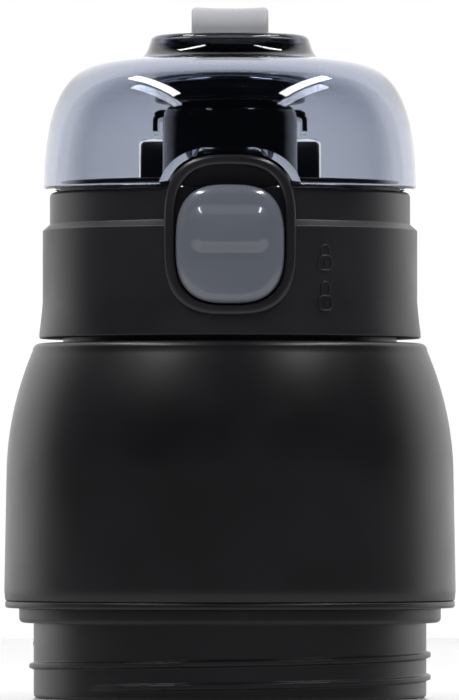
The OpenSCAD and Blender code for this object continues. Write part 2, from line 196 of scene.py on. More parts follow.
def lofted(name, loops, ring=False):
    """A skin over loops with equally many points: capped at both ends, or closed as a ring."""
    n = len(loops[0])
    faces = []
    for i in range(len(loops) if ring else len(loops) - 1):
        here, there = i * n, (i + 1) % len(loops) * n
        for j in range(n):
            k = (j + 1) % n
            faces.append((here + j, here + k, there + k, there + j))
    if not ring:
        faces.append(tuple(range(n - 1, -1, -1)))
        faces.append(tuple((len(loops) - 1) * n + j for j in range(n)))
    return piece(name, [p for loop in loops for p in loop], faces)


def turned(name, section, steps=TURN_STEPS):
    """A closed section of (radius, height) turned round Z; it may be a function of the angle."""
    loops = []
    for i in range(steps):
        a = math.tau * i / steps
        points = section(a) if callable(section) else section
        loops.append([(r * math.cos(a), r * math.sin(a), z) for r, z in points])
    return lofted(name, loops, ring=True)


def plate(name, outline, y0, y1):
    """An outline seen from the front, given thickness along Y."""
    return lofted(name, [[(x, y, z) for x, z in outline] for y in (y0, y1)])


def wrap(outline, r):
    """An outline seen from the front, laid on a cylinder round Z."""
    return [(x, -math.sqrt(r * r - x * x), z) for x, z in outline]


def slab(name, outline, z0, z1):
    """An outline seen from above, given height."""
    return lofted(name, [[(x, y, z) for x, y in outline] for z in (z0, z1)])


def rod(name, x0, x1, y, z, r, edge=0.15, steps=48):
    """A round bar along X with softened ends."""
    section = [(0, x0), (r - edge, x0), (r, x0 + edge), (r, x1 - edge), (r - edge, x1), (0, x1)]
    obj = turned(name, section, steps)
    for v in obj.data.vertices:
        v.co = (v.co.z, v.co.y + y * MM, -v.co.x + z * MM)
    return obj


def tube(name, path, r, sides=12, ring=False):
    """A round wire along a path of points."""
    loops = []
    side = (Vector(path[1]) - Vector(path[0])).orthogonal()
    for i, p in enumerate(path):
        before = Vector(path[i - 1] if i or ring else path[0])
        after = Vector(path[(i + 1) % len(path)] if i + 1 < len(path) or ring else path[-1])
        along = (after - before).normalized()
        side = (side - along * side.dot(along)).normalized()
        up = along.cross(side)
        spokes = [math.tau * s / sides for s in range(sides)]
        loops.append([Vector(p) + (side * math.cos(a) + up * math.sin(a)) * r for a in spokes])
    return lofted(name, loops, ring)


def bake_modifiers(obj):
    graph = bpy.context.evaluated_depsgraph_get()
    mesh = bpy.data.meshes.new_from_object(obj.evaluated_get(graph))
    obj.modifiers.clear()
    obj.data = mesh


def combine(base, operation, *others):
    """Joins other solids to the base or cuts them from it."""
    for other in others:
        cut = base.modifiers.new("combine", "BOOLEAN")
        cut.operation = operation
        cut.solver = "MANIFOLD"
        cut.object = other
        bake_modifiers(base)
        bpy.data.objects.remove(other)
    return base


def dress(obj, finish, body, slot, *nodes, sharp=32, weighted=False):
    """Gives a piece its finish and shading, hangs it on its body's empty and hides the CAD parts it
    stands for.
    """
    obj.data.materials.clear()
    obj.data.materials.append(finish)
    obj.data.shade_smooth()
    obj.data.set_sharp_from_angle(angle=math.radians(sharp))
    if weighted:
        normals = obj.modifiers.new("weighted", "WEIGHTED_NORMAL")
        normals.keep_sharp = True
        normals.weight = 80
    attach(obj, body)
    if nodes:
        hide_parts(*nodes)
    return obj


# ---- materials ----


def linear(hex_colour, alpha=1.0):
    """An sRGB hex colour as linear red, green, blue and alpha."""
    parts = [int(hex_colour[i : i + 2], 16) / 255 for i in (1, 3, 5)]
    return [c / 12.92 if c <= 0.04045 else ((c + 0.055) / 1.055) ** 2.4 for c in parts] + [alpha]


def add(tree, kind, inputs=None, **settings):
    """Adds a node with its settings; an input that is another node's socket is linked."""
    node = tree.nodes.new("ShaderNode" + kind)
    for key, value in settings.items():
        setattr(node, key, value)
    for key, value in (inputs or {}).items():
        if isinstance(value, bpy.types.NodeSocket):
            tree.links.new(value, node.inputs[key])
        else:
            node.inputs[key].default_value = value
    return node


def material(name, **sockets):
    """A new material with its shader's own sockets set, its tree and its shader."""
    made = bpy.data.materials.new(name)
    made.use_nodes = True
    shader = made.node_tree.nodes["Principled BSDF"]
    for key, value in sockets.items():
        shader.inputs[key.replace("_", " ")].default_value = value
    return made, made.node_tree, shader


def surface(tree, shader, low, high, rough_low, rough_high, grain_mm, depth_mm, patch_mm=14):
    """Slow drifts of colour and roughness over patches, and a fine moulded or sprayed grain."""
    place = add(tree, "TexCoord").outputs["Object"]
    patch = add(tree, "TexNoise", {"Vector": place, "Scale": 1 / (patch_mm * MM), "Detail": 3.0})
    grain = add(tree, "TexNoise", {"Vector": place, "Scale": 1 / (grain_mm * MM), "Detail": 2.0})
    drift = add(
        tree, "MapRange", {"Value": patch.outputs["Fac"], "From Min": 0.35, "From Max": 0.65}
    )
    colour = add(tree, "Mix", {"Factor": drift.outputs["Result"]}, data_type="RGBA")
    colour.inputs["A"].default_value = linear(low)
    colour.inputs["B"].default_value = linear(high)
    rough = add(
        tree,
        "MapRange",
        {
            "Value": patch.outputs["Fac"],
            "From Min": 0.35,
            "From Max": 0.65,
            "To Min": rough_low,
            "To Max": rough_high,
        },
    )
    bump = add(tree, "Bump", {"Height": grain.outputs["Fac"], "Distance": depth_mm * MM})
    tree.links.new(colour.outputs["Result"], shader.inputs["Base Color"])
    tree.links.new(rough.outputs["Result"], shader.inputs["Roughness"])
    tree.links.new(bump.outputs["Normal"], shader.inputs["Normal"])


def powder_coat():
    """Polyester powder baked on steel: deep black, a satin sheen broken by fine orange peel."""
    made, tree, shader = material("powder_coat_black", IOR=1.5)
    surface(tree, shader, "#0b0b0d", "#0f0f12", 0.34, 0.39, 0.5, 0.006)
    return made


def spark_textured_pp():
    """Polypropylene from a spark-eroded mould: black and dry, with an even fine grain."""
    made, tree, shader = material("spark_textured_pp_black", IOR=1.49)
    surface(tree, shader, "#151519", "#1a1a1e", 0.38, 0.45, 0.35, 0.008)
    return made


def satin_abs():
    """ABS from a satin-polished mould: black with a soft broad highlight on its rounded edges."""
    made, tree, shader = material("satin_abs_black", IOR=1.53)
    surface(tree, shader, "#18181c", "#1e1d22", 0.28, 0.36, 0.6, 0.003)
    return made


def moulded_pp():
    """Plain moulded polypropylene: black with a low sheen and faint flow marks."""
    made, tree, shader = material("moulded_pp_black", IOR=1.49)
    surface(tree, shader, "#111114", "#18171a", 0.34, 0.42, 0.9, 0.004)
    return made


def polished_abs():
    """ABS from a mirror-polished mould: black and glossy, nearly free of grain."""
    made, tree, shader = material("polished_abs_black", IOR=1.53, Coat_Weight=0.3, Coat_Roughness=0.04)
    surface(tree, shader, "#08080b", "#0c0c10", 0.09, 0.14, 2.5, 0.002)
    return made


def grey_abs():
    """Grey ABS from a polished mould: a glossy skin that mirrors the lamps in its curved rim."""
    made, tree, shader = material("polished_abs_grey", IOR=1.53, Coat_Weight=0.8, Coat_Roughness=0.06)
    surface(tree, shader, "#686c76", "#6e727c", 0.20, 0.27, 1.6, 0.002)
    return made


def smoked_copolyester():
    """Smoke-tinted clear copolyester: see-through, blue-grey and darker where its wall is thick."""
    made, tree, shader = material("smoked_copolyester", IOR=1.54, Transmission_Weight=1.0)
    surface(tree, shader, "#dbdde1", "#dfe1e5", 0.02, 0.035, 6.0, 0.002, patch_mm=30)
    # a 2 mm wall lets through about three quarters of what enters it, and the least red
    smoke = add(tree, "VolumeAbsorption", {"Color": linear("#8a99b7"), "Density": 200.0})
    tree.links.new(smoke.outputs["Volume"], tree.nodes["Material Output"].inputs["Volume"])
    return made


def silicone_rubber(name, low, high, sheen):
    """Compression-moulded silicone: pale and soft-looking, with a dusty sheen."""
    made, tree, shader = material(
        name,
        IOR=1.41,
        Sheen_Weight=sheen,
        Sheen_Roughness=0.5,
        Subsurface_Weight=0.15,
        Subsurface_Scale=0.002,
    )
    surface(tree, shader, low, high, 0.44, 0.52, 0.4, 0.004)
    return made


def milky_silicone():
    """Unpigmented silicone, as in seals: whitish and cloudy, letting a little light through."""
    made, tree, shader = material(
        "milky_silicone", IOR=1.41, Transmission_Weight=0.35, Subsurface_Weight=0.2
    )
    surface(tree, shader, "#d3d5d6", "#dcdedf", 0.32, 0.4, 0.6, 0.004)
    return made


def black_silicone():
    """Black pigmented silicone: a soft seal with a blurred highlight."""
    made, tree, shader = material("silicone_black", IOR=1.41, Sheen_Weight=0.1)
    surface(tree, shader, "#121214", "#19191b", 0.36, 0.44, 0.5, 0.004)
    return made


def brushed_steel():
    """18/8 stainless steel finished on a lathe belt: fine rings round the axis catch the light."""
    made, tree, shader = material("brushed_stainless", Metallic=1.0)
    place = add(tree, "TexCoord").outputs["Object"]
    ring_mm = 0.25
    stretch = add(tree, "Mapping", {"Vector": place, "Scale": (8.0, 8.0, 1 / (ring_mm * MM))})
    rings = add(tree, "TexNoise", {"Vector": stretch.outputs["Vector"], "Scale": 1.0, "Detail": 4.0})
    colour = add(tree, "Mix", {"Factor": rings.outputs["Fac"]}, data_type="RGBA")
    colour.inputs["A"].default_value = linear("#a9a9ab")
    colour.inputs["B"].default_value = linear("#c9c9cb")
    rough = add(tree, "MapRange", {"Value": rings.outputs["Fac"], "To Min": 0.2, "To Max": 0.42})
    bump = add(tree, "Bump", {"Height": rings.outputs["Fac"], "Distance": 0.004 * MM})
    tree.links.new(colour.outputs["Result"], shader.inputs["Base Color"])
    tree.links.new(rough.outputs["Result"], shader.inputs["Roughness"])
    tree.links.new(bump.outputs["Normal"], shader.inputs["Normal"])
    return made


def spring_wire():
    """Drawn stainless wire: bright, with faint die lines."""
    made, tree, shader = material("drawn_stainless_wire", Metallic=1.0)
    surface(tree, shader, "#98989b", "#b0b0b3", 0.22, 0.34, 0.3, 0.002)
    return made


COAT = powder_coat()
COLLAR_PP = spark_textured_pp()
BEZEL_ABS = satin_abs()
PLAIN_PP = moulded_pp()
GLOSS_BLACK = polished_abs()
GLOSS_GREY = grey_abs()
SMOKE = smoked_copolyester()
STRAP_RUBBER = silicone_rubber("strap_silicone_grey", "#b2b3b8", "#b8b9be", 0.15)
SEAL_CLEAR = milky_silicone()
SEAL_BLACK = black_silicone()
STEEL = brushed_steel()
WIRE = spring_wire()


# ---- shoulder ----


def make_shoulder():
    edge = 1.2
    foot_z = 17.3
    top_r = shoulder_r(SHOULDER_TOP - edge) - edge
    side = []
    rows = 48
    for i in range(rows + 1):
        z = foot_z + (SHOULDER_TOP - edge - foot_z) * i / rows
        side.append((shoulder_r(z), z))
    inner = [(r - 1.05, z) for r, z in reversed(side[: rows - 2])]
    section = [(FLANGE_R - 1, SHELL_Z), (FLANGE_R - 0.25, SHELL_Z), (FLANGE_R, SHELL_Z + 0.25)]
    section += side
    section += arc(top_r, SHOULDER_TOP - edge, edge, 12, 90, 8)
    section += [(NECK_BORE_R, SHOULDER_TOP), (NECK_BORE_R, SHOULDER_TOP - 1)]
    section += [(top_r - 1, SHOULDER_TOP - 1)] + inner
    obj = turned("shoulder_shell_coated", section, 320)
    dress(obj, COAT, "shoulder", "black_coat", "shoulder_shell", sharp=50)


def make_liner():
    wide_r = SKIRT_BORE_R - 0.1
    wall = 0.75
    curve_z, neck_z = 26, 54
    outer = []
    rows = 36
    for i in range(rows + 1):
        t = i / rows
        r = wide_r + (NECK_BORE_R - wide_r) * (1 - math.cos(math.pi * t)) / 2
        outer.append((r, curve_z + (neck_z - curve_z) * t))
    section = [(wide_r - wall, 1.5), (wide_r, 1.5)] + outer
    section += [(NECK_BORE_R, NECK_TOP), (MOUTH_R, NECK_TOP)]
    section += [(r - wall, z) for r, z in reversed(outer)]
    obj = turned("inner_liner_steel", section)
    dress(obj, STEEL, "shoulder", "steel", "inner_liner", sharp=40)


def thread_height(angle, z, start_angle, start_z, pitch, turns, base, tip, depth):
    """How far a right-hand thread stands out at an angle and a height, run out at its two ends."""
    highest = 0
    whole = math.tau * turns
    run_out = math.radians(14)
    along = (angle - start_angle) % math.tau
    while along <= whole:
        off = abs(z - start_z - pitch * along / math.tau)
        flank = (base / 2 - off) / ((base - tip) / 2)
        end = min(1, along / run_out, (whole - along) / run_out)
        rise = max(0, min(1, flank)) * end
        highest = max(highest, depth * rise * rise * (3 - 2 * rise))
        along += math.tau
    return highest


def threaded_section(radius, z0, z1, rest, row_mm, **thread):
    """The section at each angle of a turned part with a thread between two heights."""
    rows = round((z1 - z0) / row_mm)
    heights = [z0 + (z1 - z0) * i / rows for i in range(rows + 1)]

    def section(angle):
        wall = [(radius + thread_height(angle, z, **thread), z) for z in heights]
        return wall + rest

    return section


def make_skirt():
    spigot_r = FLANGE_R - 1.2
    rest = arc(SKIRT_R + 0.3, FLANGE_Z - 0.3, 0.3, 180, 90, 3)
    rest += arc(FLANGE_R - 0.4, FLANGE_Z + 0.4, 0.4, -90, 0, 5)
    rest += [(FLANGE_R, SHELL_Z - 0.15), (FLANGE_R - 0.15, SHELL_Z), (spigot_r, SHELL_Z)]
    rest += [(spigot_r, SHELL_Z + 3), (spigot_r - 1.4, SHELL_Z + 3), (spigot_r - 1.4, SHELL_Z)]
    rest += [(SKIRT_BORE_R, SHELL_Z), (SKIRT_BORE_R, 0.3), (SKIRT_BORE_R + 0.3, 0)]
    rest += [(SKIRT_R - 0.5, 0), (SKIRT_R - 0.15, 0.15)]
    section = threaded_section(
        SKIRT_R,
        0.5,
        FLANGE_Z - 0.35,
        rest,
        row_mm=0.11,
        start_angle=math.radians(-136),
        start_z=1.96,
        pitch=3.6,
        turns=1.88,
        base=1.25,
        tip=0.6,
        depth=0.7,
    )
    obj = turned("threaded_skirt_moulded", section, 320)
    dress(obj, PLAIN_PP, "shoulder", "black_plastic", "threaded_skirt", sharp=60)


def make_neck_ring():
    neck_r = 20.8
    rest = [(neck_r - 0.2, NECK_TOP - 0.2), (neck_r - 0.6, NECK_TOP), (NECK_BORE_R, NECK_TOP)]
    rest += [(NECK_BORE_R, SHOULDER_TOP), (27, SHOULDER_TOP), (27, 59.2)]
    rest += arc(26.6, 59.2, 0.4, 0, 90, 4)
    rest += [(neck_r + 0.3, 59.6)]
    section = threaded_section(
        neck_r,
        59.9,
        NECK_TOP - 0.6,
        rest,
        row_mm=0.16,
        start_angle=0,
        start_z=62.8,
        pitch=4,
        turns=1,
        base=1.6,
        tip=0.7,
        depth=1.1,
    )
    obj = turned("neck_ring_moulded", section)
    dress(obj, PLAIN_PP, "shoulder", "black_plastic", "neck_ring", sharp=60)


def make_turned_seals():
    seal_z, seal_r = 12.1, 34.1
    body = rounded([(SKIRT_R + 0.05, seal_z), (seal_r, seal_z, 0.8), (seal_r, FLANGE_Z, 0.15),
                    (SKIRT_R + 0.05, FLANGE_Z)], 8)
    obj = turned("body_seal_ring", body)
    dress(obj, SEAL_BLACK, "shoulder", "black_seal", "body_seal")
    inner, outer, low, high = MOUTH_R + 0.3, 22.0, NECK_TOP + 0.05, 71.0
    lip = rounded([(inner, low, 0.2), (outer, low, 0.2), (outer, high, 0.2), (outer - 1, high, 0.2),
                   (outer - 1.4, high - 0.65, 0.2), (inner + 1, high - 0.65, 0.2),
                   (inner + 0.6, high, 0.15), (inner, high, 0.2)], 4)
    obj = turned("lid_seal_ring", lip)
    dress(obj, SEAL_CLEAR, "seal_ring", "clear_seal", "lid_seal")
    obj = turned("spout_gasket_ring", rounded([(5.4, 73, 0.15), (8.4, 73, 0.15), (8.4, 73.6, 0.15),
                                               (5.4, 73.6, 0.15)], 3))
    dress(obj, SEAL_CLEAR, "lid", "clear_seal", "spout_gasket")
    valve = [(0, 69.65), (1, 69.65, 0.3), (3, 70.45, 0.2), (3, 71.05), (1.5, 71.05), (1.5, 73),
             (2.4, 73), (2.4, 73.8, 0.3), (0, 73.8)]
    obj = turned("vent_valve_umbrella", rounded(valve, 4), 64)
    for v in obj.data.vertices:
        v.co.y += 13.5 * MM
    dress(obj, SEAL_CLEAR, "lid", "clear_seal", "vent_valve")


# ---- lid ----


def collar_r(z):
    """Radius of the collar's side, which flares a little towards its foot."""
    flare_z, foot = 64.2, COLLAR_Z + 0.6
    return COLLAR_R + 0.58 * max(0, (flare_z - z) / (flare_z - foot)) ** 1.3


def collar_section():
    """The collar's wall, deck and rim, with the flare at its foot and the ledge below its neck."""
    side = [(collar_r(z), z) for z in (COLLAR_Z + 0.6 + 0.35 * i for i in range(17))]
    corners = [(28.3, COLLAR_Z), (side[0][0], COLLAR_Z, 0.3)] + side[1:]
    corners += [(COLLAR_R, LEDGE_Z, 0.25), (COLLAR_NECK_R, LEDGE_Z + 1, 0.35)]
    corners += [(COLLAR_NECK_R, DECK_TOP, 0.8), (27.5, DECK_TOP, 0.2)]
    corners += [(27.5, RIM_TOP, 0.35), (25.8, RIM_TOP, 0.35), (25.8, DECK_TOP, 0.25)]
    corners += [(SPOUT_HOLE_R, DECK_TOP, 0.25), (SPOUT_HOLE_R, DECK_Z), (COLLAR_NECK_R - 1.85, DECK_Z)]
    corners += [(COLLAR_NECK_R - 1.85, LEDGE_Z + 0.6), (28.3, LEDGE_Z - 0.6)]
    return rounded(corners, 6)


def make_hinge_ear(side):
    """An upright ear of the hinge, rounded about the pin, with its edges eased at both faces."""
    front = 20.9
    outline = [(26.2, DECK_Z + 0.4), (front, DECK_Z + 0.4)]
    outline += [(y, z) for y, z in arc(HINGE_Y, HINGE_Z, EAR_R, 180, -10, 20)]
    loops = []
    for x, inset in ((9.1, 0.25), (9.35, 0), (EAR_OUT - 0.4, 0), (EAR_OUT, 0.4)):
        mid = Vector((24.4, 86))
        ring = []
        for y, z in outline:
            p = Vector((y, z))
            p = p + (mid - p).normalized() * inset
            reach = math.sqrt((DOME_R - 0.3) ** 2 - x * x)
            ring.append((side * x, min(p.x, reach), p.y))
        loops.append(ring)
    return lofted("ear", loops)


def make_collar():
    obj = turned("collar_textured", collar_section(), 320)
    frame_outline = button_outline(BEZEL_RIM)
    ends = plate("rim_end", rounded_box(-9.6, 9.6, DECK_TOP + 0.02, 86, 0.4), -32, -15)
    back = slab("rim_back", rounded_box(-30, 30, 16, 34, 0.5), DECK_TOP + 0.02, 86)
    skin = lofted("frame_seat", [wrap(frame_outline, r) for r in (BEZEL_BACK_R, 33)])
    combine(obj, "DIFFERENCE", ends, back, skin)
    outline = button_outline(BEZEL_RIM - 0.2)
    pad = lofted("frame_pad", [wrap(outline, r) for r in (28.4, BEZEL_BACK_R - 0.01)])
    combine(obj, "UNION", pad, make_hinge_ear(1), make_hinge_ear(-1))
    opening = plate("opening", button_outline(0.25), -35, -26.9)
    room = slab("room", rounded_box(-10.3, 10.3, -28, -25, 0.3), 63.4, LEDGE_Z - 0.8)
    latch_slot = slab("latch_slot", rounded_box(-4.4, 4.4, -27.6, -22.4, 0.5), DECK_Z - 1, DECK_TOP + 1)
    vent_hole = slab("vent_hole", arc(0, 13.5, 1.2, 0, 345, 23), DECK_Z - 1, DECK_TOP + 1)
    combine(obj, "DIFFERENCE", opening, room, latch_slot, vent_hole)
    lugs = []
    for x0, x1 in ((4, 6.5), (-6.5, -4)):
        lugs.append(slab("lug", rounded_box(x0, x1, -26.9, -23.8, 0.3), 73.7, DECK_Z + 0.5))
    combine(obj, "UNION", *lugs)
    hinge_hole = rod("hinge_hole", -14.2, 14.2, HINGE_Y, HINGE_Z, 1.02)
    combine(obj, "DIFFERENCE", hinge_hole, rod("latch_hole", -7, 7, LATCH_Y, LATCH_Z, 0.82))
    dress(obj, COLLAR_PP, "lid", "matte_black", "collar", weighted=True)


def make_bezel():
    """The raised frame round the button: a rounded section carried round the opening."""
    inner, outer = 0.25, BEZEL_RIM
    section = rounded([(inner, 28.9, 0.1), (inner, BEZEL_R, 0.55), (outer, BEZEL_R, 0.7),
                       (outer, BEZEL_BACK_R, 0.1), (1.0, BEZEL_BACK_R), (1.0, 28.9)], 7)
    obj = lofted("bezel_frame", [wrap(button_outline(m), r) for m, r in section], ring=True)
    dress(obj, BEZEL_ABS, "lid", "satin_black", "bezel")


def make_spout():
    tip = 91.5
    section = [(5.2, 73.6), (7.2, 73.6), (7.2, 78.2), (10.6, 78.2), (10.6, DECK_Z), (7.7, DECK_Z)]
    section += [(7.6, 84), (7.25, 85), (6.4, 90.4)] + arc(5.8, tip - 0.6, 0.6, 0, 180, 10)
    obj = turned("spout_moulded", section + [(5.2, tip - 1)], 128)
    dress(obj, PLAIN_PP, "lid", "black_plastic", "spout")


def padlock(name, mid_z, open_shackle):
    """A small raised padlock sign on the collar: a round-cornered body and its shackle."""
    mid_angle = math.radians(29.9)

    def on_collar(u, v):
        r = collar_r(mid_z + v) + 0.02
        a = mid_angle + u / r
        return (r * math.sin(a), -r * math.cos(a), mid_z + v)

    body = rounded_box(-1.15, 1.15, -2.2, 0.1, 0.7, 6)
    body_ring = tube(name + "_body", [on_collar(u, v) for u, v in body], 0.17, 8, ring=True)
    lift = 0.55 if open_shackle else 0
    shackle = [(0.72, 0.1 + lift)] + arc(0, 1.1 + lift, 0.72, 0, 180, 12)
    shackle += [(-0.72, 0.1)]
    loop = tube(name + "_shackle", [on_collar(u, v) for u, v in shackle], 0.16, 8)
    slot = tube(name + "_slot", [on_collar(0, v) for v in (-1.45, -1.05, -0.65)], 0.18, 8)
    for part in (body_ring, loop, slot):
        dress(part, COLLAR_PP, "lid", "matte_black", sharp=60)


# ---- button ----


def smooth_step(low, high, value):
    t = max(0, min(1, (value - low) / (high - low)))
    return t * t * (3 - 2 * t)


def button_face(x, z, s):
    """Distance in front of the axis of the button's face, s from its middle (0) to its edge (1)."""
    crown = math.sqrt(BUTTON_R**2 - x * x)
    rim_mm = 1.45
    to_edge = (1 - s) * BUTTON_W / 2
    roll = max(0, 1 - to_edge / rim_mm)
    drop = rim_mm * (1 - math.sqrt(max(0, 1 - roll * roll)))
    pad_x, pad_low, pad_high, wall, rise = 6.6, 70.9, 78.8, 1.9, 0.8
    corner = 2.4
    mid_z, half_z = (pad_low + pad_high) / 2, (pad_high - pad_low) / 2
    dx = max(0, abs(x) - (pad_x - corner))
    dz = max(0, abs(z - mid_z) - (half_z - corner))
    inside = corner - math.hypot(dx, dz)
    return crown - drop + rise * smooth_step(0, wall, inside)


def make_button():
    steps = 240
    loops = []
    rings = 110
    for i in range(1, rings + 1):
        s = (i / rings) ** 0.9
        outline = squircle(BUTTON_W / 2 * s, BUTTON_H / 2 * s, BUTTON_Z, 0, steps)
        loops.append([(x, -button_face(x, z, s), z) for x, z in outline])
    edge = squircle(BUTTON_W / 2, BUTTON_H / 2, BUTTON_Z, 0, steps)
    back_edge = squircle(BUTTON_W / 2 - 0.3, BUTTON_H / 2 - 0.3, BUTTON_Z, 0, steps)
    loops.append([(x, -BUTTON_BACK - 0.3, z) for x, z in edge])
    loops.append([(x, -BUTTON_BACK, z) for x, z in back_edge])
    obj = lofted("push_button_moulded", loops)
    for x, r in ((0, 1.4), (-6, 1), (6, 1)):
        stem = slab("stem", arc(x, 0, r, 0, 345, 23), 27, 29.9)
        for v in stem.data.vertices:
            v.co = (v.co.x, -v.co.z, v.co.y + STEM_Z * MM)
        combine(obj, "UNION", stem)
    dress(obj, GLOSS_GREY, "button", "grey_gloss", "push_button", sharp=40)


def make_slot_shutter():
    """A black plate on the latch that closes the slot above the button from behind."""
    foot = DECK_TOP + 0.25
    outline = [(x, z) for x, z in button_outline(0.7) if z > foot]
    half_w = max(x for x, z in outline)
    obj = plate("slot_shutter", [(half_w, foot)] + outline + [(-half_w, foot)], -25.8, -25.1)
    dress(obj, COLLAR_PP, "latch", "matte_black")


# ---- cap ----


def make_dome():
    """The smoked shell: a squared-off dome that sweeps up into a low round crown."""
    foot = 0.5
    section = [(DOME_R - DOME_WALL, DOME_Z + 0.2), (DOME_R - DOME_WALL + 0.2, DOME_Z)]
    section += arc(DOME_R - foot, DOME_Z + foot, foot, -90, -5, 6)
    section += [dome_point(1.2 * 1.22**i, 0) for i in range(1, 17)]
    section += [dome_point(30 + 54 * i / 28, 0) for i in range(29)]
    section += arc(CROWN_R + 3.2, CROWN_TOP - 1, 3, 262, 190, 12)
    section += arc(CROWN_R - 1, CROWN_TOP - 1, 1, 0, 90, 8)
    section += [(CROWN_BORE_R + 0.2, CROWN_TOP), (CROWN_BORE_R, CROWN_TOP - 0.2)]
    section += [dome_point(88.5 * (1 - i / 40), DOME_WALL) for i in range(40)]
    obj = turned("dome_smoked", section, 320)
    chamfer = 1.2
    gap = BEZEL_RIM + 0.4
    wide = gap + chamfer + 0.2
    levels = ((20, gap), (DOME_R - 1.15, gap), (DOME_R + 0.25, wide), (34, wide))
    front = lofted("front_opening", [wrap(button_outline(m), r) for r, m in levels])
    reach = EAR_OUT + 0.3
    hinge = rod("hinge_opening", -reach, reach, HINGE_Y, HINGE_Z, EAR_R + 0.6, 0.3, 96)
    below = slab("hinge_slot", rounded_box(-reach, reach, 15, 40, 0.3), 80, HINGE_Z)
    combine(obj, "DIFFERENCE", front, hinge, below)
    dress(obj, SMOKE, "cap", "smoke_clear", "cap_dome", weighted=True)


def make_cup():
    """The black cup that presses the plug on the spout, with the hinge arms and their hood."""
    floor = 1.7
    section = [(CUP_BORE_R, CUP_Z + 0.15), (CUP_BORE_R + 0.15, CUP_Z)]
    section += [(CUP_R - 0.15, CUP_Z), (CUP_R, CUP_Z + 0.15)]
    section += arc(CUP_R - 3, CUP_TOP - 3, 3, 0, 90, 12)
    section += [(0, CUP_TOP), (0, CUP_TOP - floor), (CUP_BORE_R, CUP_TOP - floor)]
    obj = turned("cup_polished", section, 192)
    catch = slab("catch", rounded_box(-3, 3, -23, -CUP_BORE_R - 0.2, 0.3), CUP_Z, CUP_Z + 2)
    half_w, roof, wall = 12.7, 96.4, 0.8
    skirt = HINGE_Z + EAR_R + 0.9
    outer = [(half_w, skirt), (half_w, roof, 1.6), (-half_w, roof, 1.6), (-half_w, skirt)]
    hood = plate("hood", rounded(outer, 8), 8, 21.5)
    inner_w, ceiling = half_w - wall, roof - 1.1
    inner = [(inner_w, skirt - 1), (inner_w, ceiling, 0.8), (-inner_w, ceiling, 0.8),
             (-inner_w, skirt - 1)]
    combine(hood, "DIFFERENCE", plate("hood_room", rounded(inner, 6), 7, 22))
    combine(obj, "UNION", catch, hood)
    for side in (1, -1):
        x0, x1 = sorted((side * 5.2, side * 8.8))
        arm = slab("arm", rounded_box(x0, x1, 6, HINGE_Y, 0.3), 85, 89.5)
        combine(obj, "UNION", arm, rod("knuckle", x0, x1, HINGE_Y, HINGE_Z, 3.4, 0.25, 64))
    bore = slab("bore", arc(0, 0, CUP_BORE_R, 0, 357.5, 143), CUP_Z - 1, CUP_TOP - floor)
    combine(obj, "DIFFERENCE", bore, rod("pin_hole", -9.5, 9.5, HINGE_Y, HINGE_Z, 1.05))
    dress(obj, GLOSS_BLACK, "cap", "gloss_black", "cap_liner", weighted=True)


def make_crown_insert():
    top = 106
    section = rounded([(0, 97.2), (12.2, 97.2, 0.2), (12.2, 101, 0.2), (CROWN_BORE_R - 0.1, 101),
                       (CROWN_BORE_R - 0.1, top, 0.3), (0, top)], 4)
    obj = turned("crown_insert_polished", section, 160)
    well = slab("well", rounded_box(-6.5, 6.5, -7.8, 7.8, 1.0), STRAP_FOOT - 0.2, 110)
    combine(obj, "DIFFERENCE", well)
    for y in (-6.4, 6.4):
        combine(obj, "DIFFERENCE", rod("pin_hole", -8.4, 8.4, y, STRAP_FOOT + 2.2, 0.82))
    dress(obj, GLOSS_BLACK, "cap", "gloss_black", "crown_insert", weighted=True)


def make_plug():
    section = rounded([(0, 90.3), (4.3, 90.3, 0.3), (4.5, 92), (CUP_BORE_R - 0.2, 92, 0.3),
                       (CUP_BORE_R - 0.2, 95.2), (0, 95.2)], 4)
    dress(turned("spout_plug_moulded", section, 128), SEAL_CLEAR, "cap", "clear_seal", "spout_plug")


def make_strap():
    """A soft band bent into an upside-down U over the crown, with rolled edges and a dished top."""
    bend = 2.4
    run = STRAP_HALF_L - STRAP_T / 2
    top = STRAP_TOP - STRAP_T / 2
    path = [(run, STRAP_FOOT), (run, STRAP_FOOT + 5)]
    path += arc(run - bend, top - bend, bend, 0, 90, 12)
    path += [(run - bend - 1.3, top), (0, top), (bend - run + 1.3, top)]
    path += arc(bend - run, top - bend, bend, 90, 180, 12)
    path += [(-run, STRAP_FOOT + 5), (-run, STRAP_FOOT)]
    flat = STRAP_HALF_W - 0.8
    half_t = STRAP_T / 2
    outside = [(flat - 2 * flat * i / 16, half_t) for i in range(1, 16)]
    section = arc(flat, half_t - 0.8, 0.8, 0, 90, 6) + outside
    section += arc(-flat, half_t - 0.8, 0.8, 90, 180, 6)
    section += arc(-flat - 0.4, 0.4 - half_t, 0.4, 180, 270, 4)
    section += arc(flat + 0.4, 0.4 - half_t, 0.4, 270, 360, 4)
    loops = []
    for i, (y, z) in enumerate(path):
        before = Vector(path[max(0, i - 1)])
        after = Vector(path[min(len(path) - 1, i + 1)])
        along = (after - before).normalized()
        out = Vector((along.y, -along.x))
        dish = 0.25 * max(0, out.y)
        ring = []
        for x, t in section:
            sink = dish * (1 - (x / STRAP_HALF_W) ** 2) if t > 0.5 else 0
            ring.append((x, y + out.x * (t - sink), z + out.y * (t - sink)))
        loops.append(ring)
    obj = lofted("carry_strap_silicone", loops)
    dress(obj, STRAP_RUBBER, "cap", "strap_grey", "carry_strap", sharp=50)
    pins = None
    for y in (-run, run):
        pin = rod("strap_pins_steel", -8.3, 8.3, y, STRAP_FOOT + 2.2, 0.8, 0.2)
        pins = combine(pins, "UNION", pin) if pins else pin
    dress(pins, STEEL, "cap", "steel", "strap_pins")


# ---- pins and springs ----


